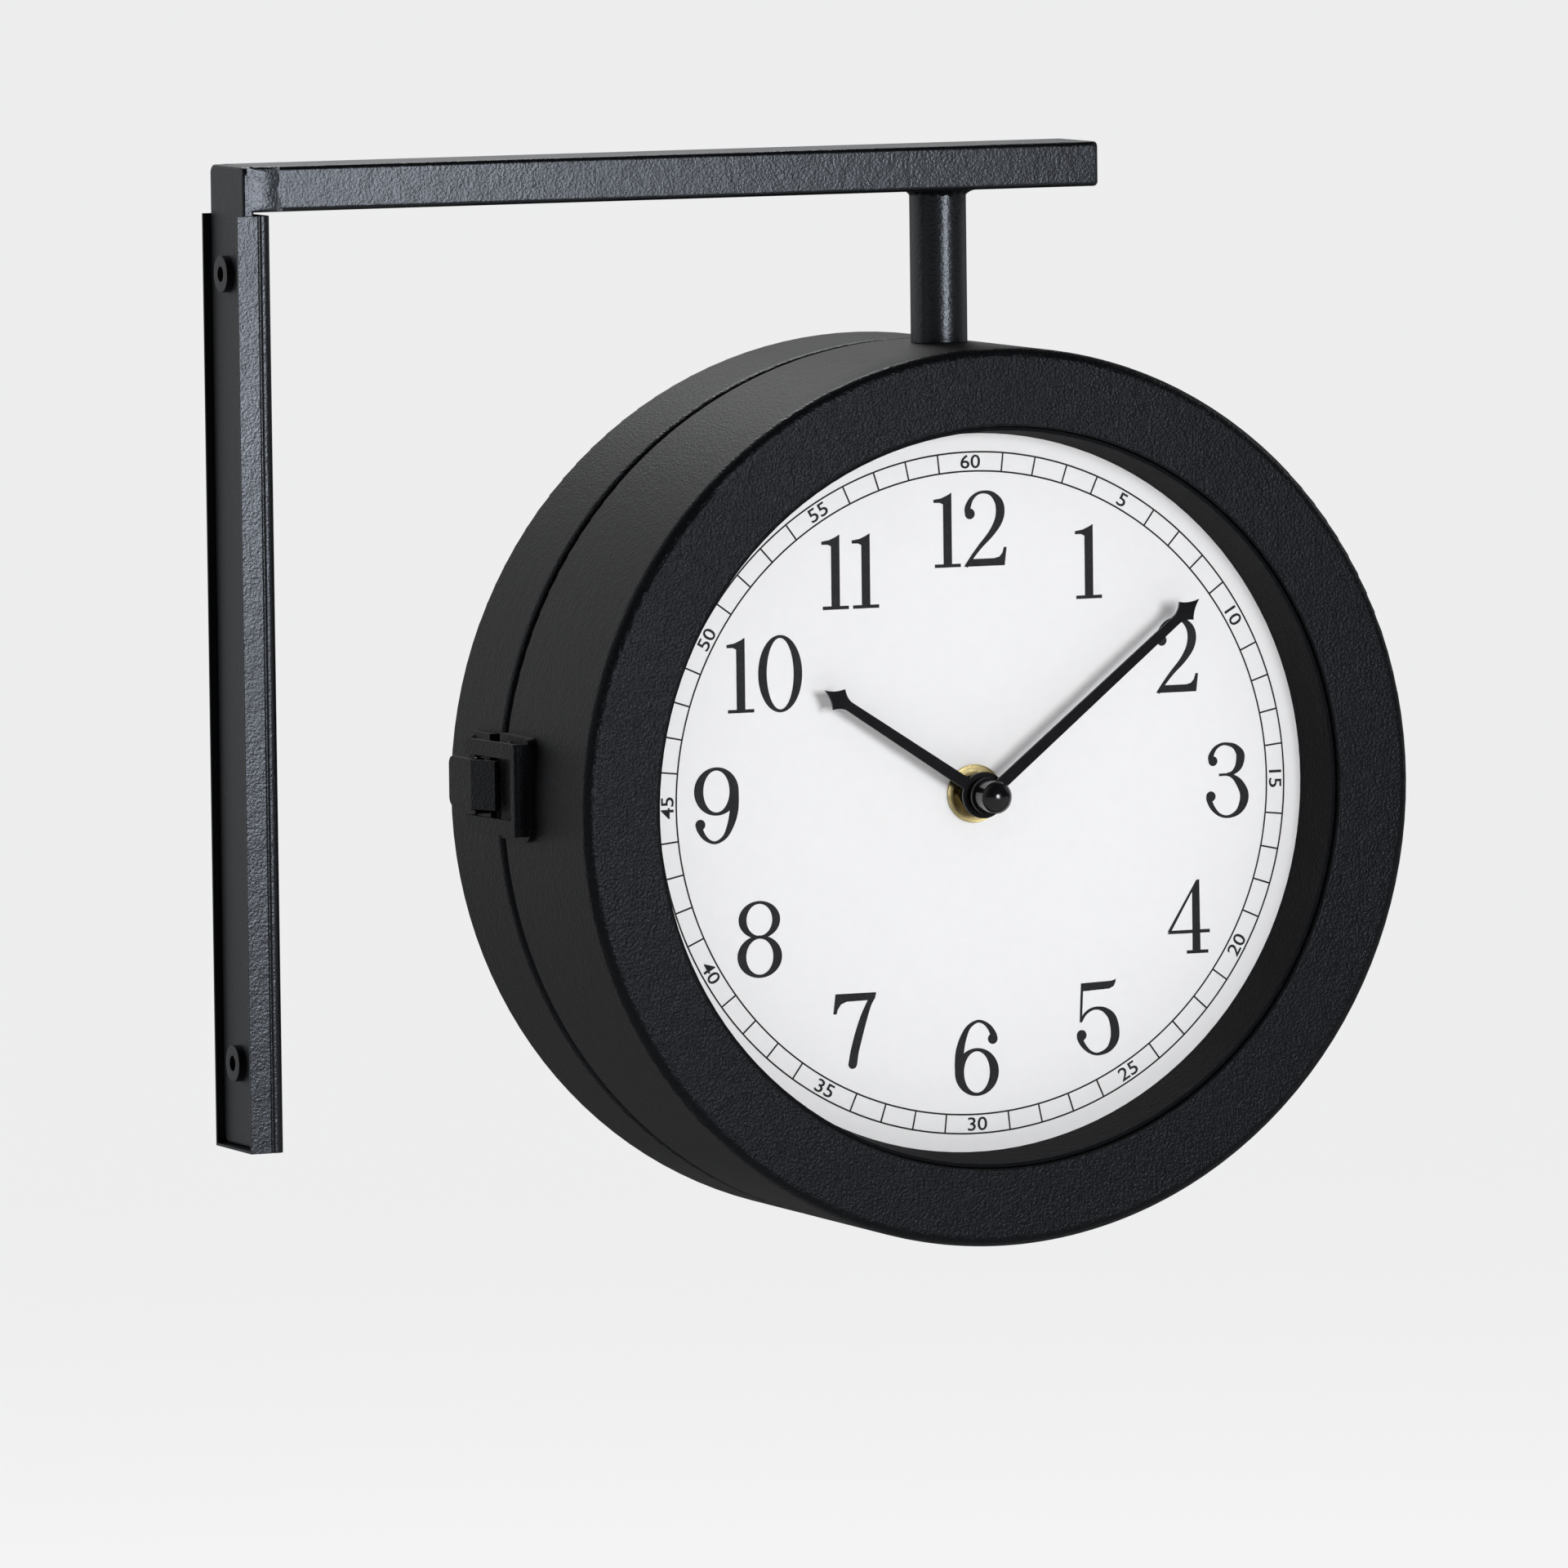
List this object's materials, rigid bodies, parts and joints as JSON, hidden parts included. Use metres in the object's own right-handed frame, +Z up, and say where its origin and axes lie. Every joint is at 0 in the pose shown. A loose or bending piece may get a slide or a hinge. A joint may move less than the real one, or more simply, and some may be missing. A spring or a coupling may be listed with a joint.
{
  "type": "wall bracket station clock",
  "caption": "Round double sided clock hung by a post from a wall bracket: two recessed dials with hands, and a hinged rear section held by a side latch.",
  "frame": {"origin": "on the wall plane, midway between the two wall screws, in the bracket's middle plane", "axes": "+X away from the wall along the arm, -Y towards the reader of the first dial, +Z up"},
  "size_m": [0.4135, 0.121, 0.366],
  "materials": {
    "black_powder": "fine textured powder coat",
    "dial_white": "matt white paint",
    "hand_black": "satin black paint",
    "cap_black": "gloss black",
    "brass": "turned brass",
    "bare_steel": "zinc plated",
    "movement_plastic": "moulded black",
    "cell_wrap": "plain printed wrap",
    "seal_rubber": "matt"
  },
  "bodies": {
    "base": {"bracket_upright": "black_powder", "wall_pads": "black_powder", "upright_cover": "black_powder", "bracket_arm": "black_powder", "arm_end_plate": "black_powder", "drop_post": "black_powder", "post_weld": "black_powder", "post_plug": "bare_steel", "post_saddle_plate": "black_powder", "post_bolt": "bare_steel", "front_shell": "black_powder", "seam_gasket": "seal_rubber", "hinge_leaf_case": "black_powder", "hinge_pin_rod": "bare_steel", "hinge_rivets_case": "black_powder", "latch_strike": "black_powder", "latch_rivets_case": "black_powder", "front_reveal": "black_powder", "front_dial": "dial_white", "front_dial_tabs": "black_powder", "front_dial_screws": "bare_steel", "front_movement": "movement_plastic", "front_battery": "cell_wrap", "front_contacts": "bare_steel", "front_bushing": "brass", "front_washer": "brass", "front_nut": "brass"},
    "door": {"rear_shell": "black_powder", "hinge_leaf_door": "black_powder", "hinge_rivets_door": "black_powder", "latch_base": "black_powder", "latch_rivets_door": "black_powder", "latch_pin": "bare_steel", "rear_reveal": "black_powder", "rear_dial": "dial_white", "rear_dial_tabs": "black_powder", "rear_dial_screws": "bare_steel", "rear_movement": "movement_plastic", "rear_battery": "cell_wrap", "rear_contacts": "bare_steel", "rear_bushing": "brass", "rear_washer": "brass", "rear_nut": "brass"},
    "latch_lever": {"latch_lever": "black_powder"},
    "front_minute": {"front_minute_hand": "hand_black", "front_arbor": "bare_steel", "front_set_knob": "movement_plastic", "front_hub_cap": "cap_black"},
    "front_hour": {"front_hour_hand": "hand_black"},
    "rear_minute": {"rear_minute_hand": "hand_black", "rear_arbor": "bare_steel", "rear_set_knob": "movement_plastic", "rear_hub_cap": "cap_black"},
    "rear_hour": {"rear_hour_hand": "hand_black"}
  },
  "joints": [
    {"name": "door_hinge", "type": "hinge", "parent": "base", "child": "door", "pos_m": [0.4103, 0.02625, -0.0505], "axis": [0, 0, -1], "range_deg": [0, 110]},
    {"name": "latch_press", "type": "hinge", "parent": "door", "child": "latch_lever", "pos_m": [0.1026, 0.03505, -0.0445], "axis": [0, 0, -1], "range_deg": [0, 18], "stiffness_Nm_per_rad": 0.03},
    {"name": "front_minute_turn", "type": "hinge", "parent": "base", "child": "front_minute", "pos_m": [0.257, -0.0345, -0.0505], "axis": [0, 1, 0], "continuous": true},
    {"name": "front_hour_turn", "type": "hinge", "parent": "base", "child": "front_hour", "pos_m": [0.257, -0.0305, -0.0505], "axis": [0, 1, 0], "continuous": true},
    {"name": "rear_minute_turn", "type": "hinge", "parent": "door", "child": "rear_minute", "pos_m": [0.257, 0.0595, -0.0505], "axis": [0, -1, 0], "continuous": true},
    {"name": "rear_hour_turn", "type": "hinge", "parent": "door", "child": "rear_hour", "pos_m": [0.257, 0.0555, -0.0505], "axis": [0, -1, 0], "continuous": true}
  ],
  "couplings": [
    {"joint": "front_hour_turn", "follows": "front_minute_turn", "ratio": 0.083333},
    {"joint": "rear_hour_turn", "follows": "rear_minute_turn", "ratio": 0.083333}
  ]
}
